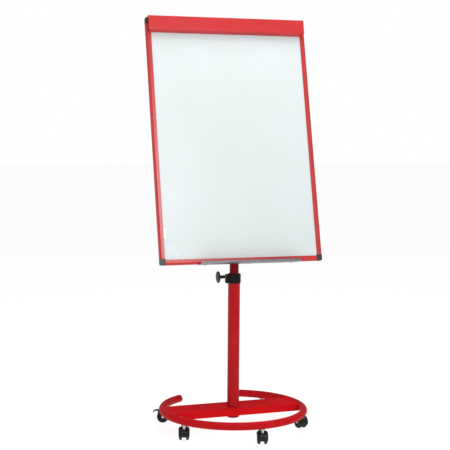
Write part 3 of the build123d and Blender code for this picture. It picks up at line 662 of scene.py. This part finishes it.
# Colour of the painted highlight beside the rail.
painted_glare_tone = (0.90, 0.92, 0.92, 1)
for mask, tone in ((film, film_tone), (bars, bar_tone), (painted_glare, painted_glare_tone)):
    laid = put_node(tree, "ShaderNodeMix", (200, 600))
    laid.data_type = "RGBA"
    laid.inputs[7].default_value = tone
    tree.links.new(mask, laid.inputs[0])
    tree.links.new(colour, laid.inputs[6])
    colour = laid.outputs[2]
tree.links.new(colour, shader.inputs["Base Color"])
tree.links.new(spread(tree, wipes.outputs["Fac"], 0.16, 0.30, (-600, -60)), shader.inputs["Roughness"])
relief = put_node(tree, "ShaderNodeBump", (-300, -300), Strength=0.1, Distance=0.0002)
tree.links.new(ripple.outputs["Fac"], relief.inputs["Height"])
tree.links.new(relief.outputs["Normal"], shader.inputs["Normal"])
dress(enamel, "writing_sheet")

# Core and back sheet: brown fibre board glued between the enamelled sheet and a galvanised one, whose
# zinc has set in a fine spangle.
core = coated(
    "fibre_core_board", (0.30, 0.20, 0.11, 1), (0.42, 0.29, 0.17, 1), (0.75, 0.9), 0.2, 1200, 0.0003
)
dress(core, "board_core")
galvanised = bare_metal(
    "galvanised_sheet", (0.50, 0.51, 0.53, 1), (0.56, 0.57, 0.59, 1), (0.36, 0.46), (1, 1, 1), 260
)
tree = galvanised.node_tree
spangle = put_node(tree, "ShaderNodeTexVoronoi", (-780, 520), Scale=85.0, Randomness=1.0)
tree.links.new(tree.nodes["Texture Coordinate"].outputs["Object"], spangle.inputs["Vector"])
shade = put_node(tree, "ShaderNodeSeparateColor", (-600, 520))
tree.links.new(spangle.outputs["Color"], shade.inputs["Color"])
flake = two_tones(
    tree, shade.outputs["Red"], (0.47, 0.48, 0.50, 1), (0.60, 0.61, 0.63, 1), 0.0, 1.0, (-400, 520)
)
tree.links.new(flake, tree.nodes["Principled BSDF"].inputs["Base Color"])
dress(galvanised, "back_sheet")

# Pen tray: a satin anodised aluminium extrusion with die lines along its length, screwed up into the
# bottom rail.
anodised = bare_metal(
    "anodised_aluminium", (0.145, 0.146, 0.153, 1), (0.180, 0.181, 0.188, 1), (0.34, 0.46),
    (0.4, 30, 30), 60,
)
dress(anodised, "pen_tray")

# Castors: twin 50 mm wheels on either side of a moulded hood, on an axle, with a brake pedal on its own
# pin. Hood and pedal are glossier than the wheels. The ten wheels are one moulding, copied.
castor_gloss = coated(
    "castor_hood_black", (0.006, 0.007, 0.007, 1), (0.012, 0.014, 0.014, 1), (0.26, 0.40), 0.25, 1000,
    0.00008,
)
tread_black = coated(
    "castor_tread_black", (0.008, 0.009, 0.009, 1), (0.016, 0.018, 0.018, 1), (0.4, 0.55), 0.2, 1400,
    0.00012,
)
for number in range(1, 6):
    dress(castor_gloss, f"castor_{number}_hood", f"castor_{number}_pedal")
    dress(zinc, f"castor_{number}_pins")

wheel_radius = 0.02499
wheel_width = 0.0114
wheel_inner = 0.0088
shoulder = 0.007
dish_radius = 0.014
dish_depth = 0.0025
dish_ledge = 0.0016
cap_radius = 0.0065
cap_edge = 0.0008
hub_height = 0.0013
rib_height = 0.0009
inner_edge = 0.0015
inner_land = 0.006
inner_recess = 0.0008
axle_bore = 0.0031
wheel = turned_start("wheel_pattern", wheel_radius, wheel_width, 96)

# Outer face: rounded shoulder, and a dish with a raised hub round the bore.
pick_faces(wheel, lambda middle, normal: normal.z > 0.9)
round_rim(shoulder, 6)
pick_faces(wheel, lambda middle, normal: normal.z > 0.999 and middle.length < wheel_width)
step_in(wheel_radius - shoulder - dish_radius)
push(-dish_depth)
step_in(dish_ledge)
step_in(dish_radius - dish_ledge - cap_radius)
push(hub_height)
step_in(cap_edge)
step_in(cap_radius - cap_edge - axle_bore)
bpy.ops.mesh.delete(type="ONLY_FACE")

# Inner face: a small edge and a shallow recess, then the bore is closed through to the outer face.
pick_faces(wheel, lambda middle, normal: normal.z < -0.9)
round_rim(inner_edge, 3)
pick_faces(wheel, lambda middle, normal: normal.z < -0.999 and middle.length < wheel_width)
step_in(inner_land)
push(inner_recess)
step_in(wheel_radius - inner_edge - inner_land - axle_bore)
bpy.ops.mesh.delete(type="ONLY_FACE")
bpy.ops.mesh.select_mode(type="EDGE")
bpy.ops.mesh.select_all(action="DESELECT")
bpy.ops.mesh.select_non_manifold()
bpy.ops.mesh.bridge_edge_loops()


def on_rib(middle, normal):
    """One facet in eight of the dish floor, between the hub and the dish wall: twelve ribs."""
    reach = math.hypot(middle.x, middle.y)
    turn = math.degrees(math.atan2(middle.y, middle.x)) % 30
    return normal.z > 0.99 and cap_radius < reach < dish_radius - dish_ledge and turn < 360 / 96


pick_faces(wheel, on_rib)
push(rib_height)
bpy.ops.object.mode_set(mode="OBJECT")
bpy.ops.object.shade_smooth_by_angle(angle=math.radians(35))
wheel.data.materials.append(tread_black)

for number in range(1, 6):
    for side, sign in (("a", 1), ("b", -1)):
        roll = joints[f"castor_{number}_roll_{side}"]
        outward = Vector(roll["axis"]) * sign
        bpy.ops.object.select_all(action="DESELECT")
        wheel.select_set(True)
        bpy.context.view_layer.objects.active = wheel
        bpy.ops.object.duplicate()
        copy = bpy.context.object
        copy.name = f"twin_wheel_{number}_{side}"
        seat(copy, outward, Vector(roll["pos_m"]) + outward * (wheel_inner + wheel_width / 2))
        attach(copy, roll["child"])
        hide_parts(f"castor_{number}_wheel_{side}")
bpy.data.objects.remove(wheel, do_unlink=True)
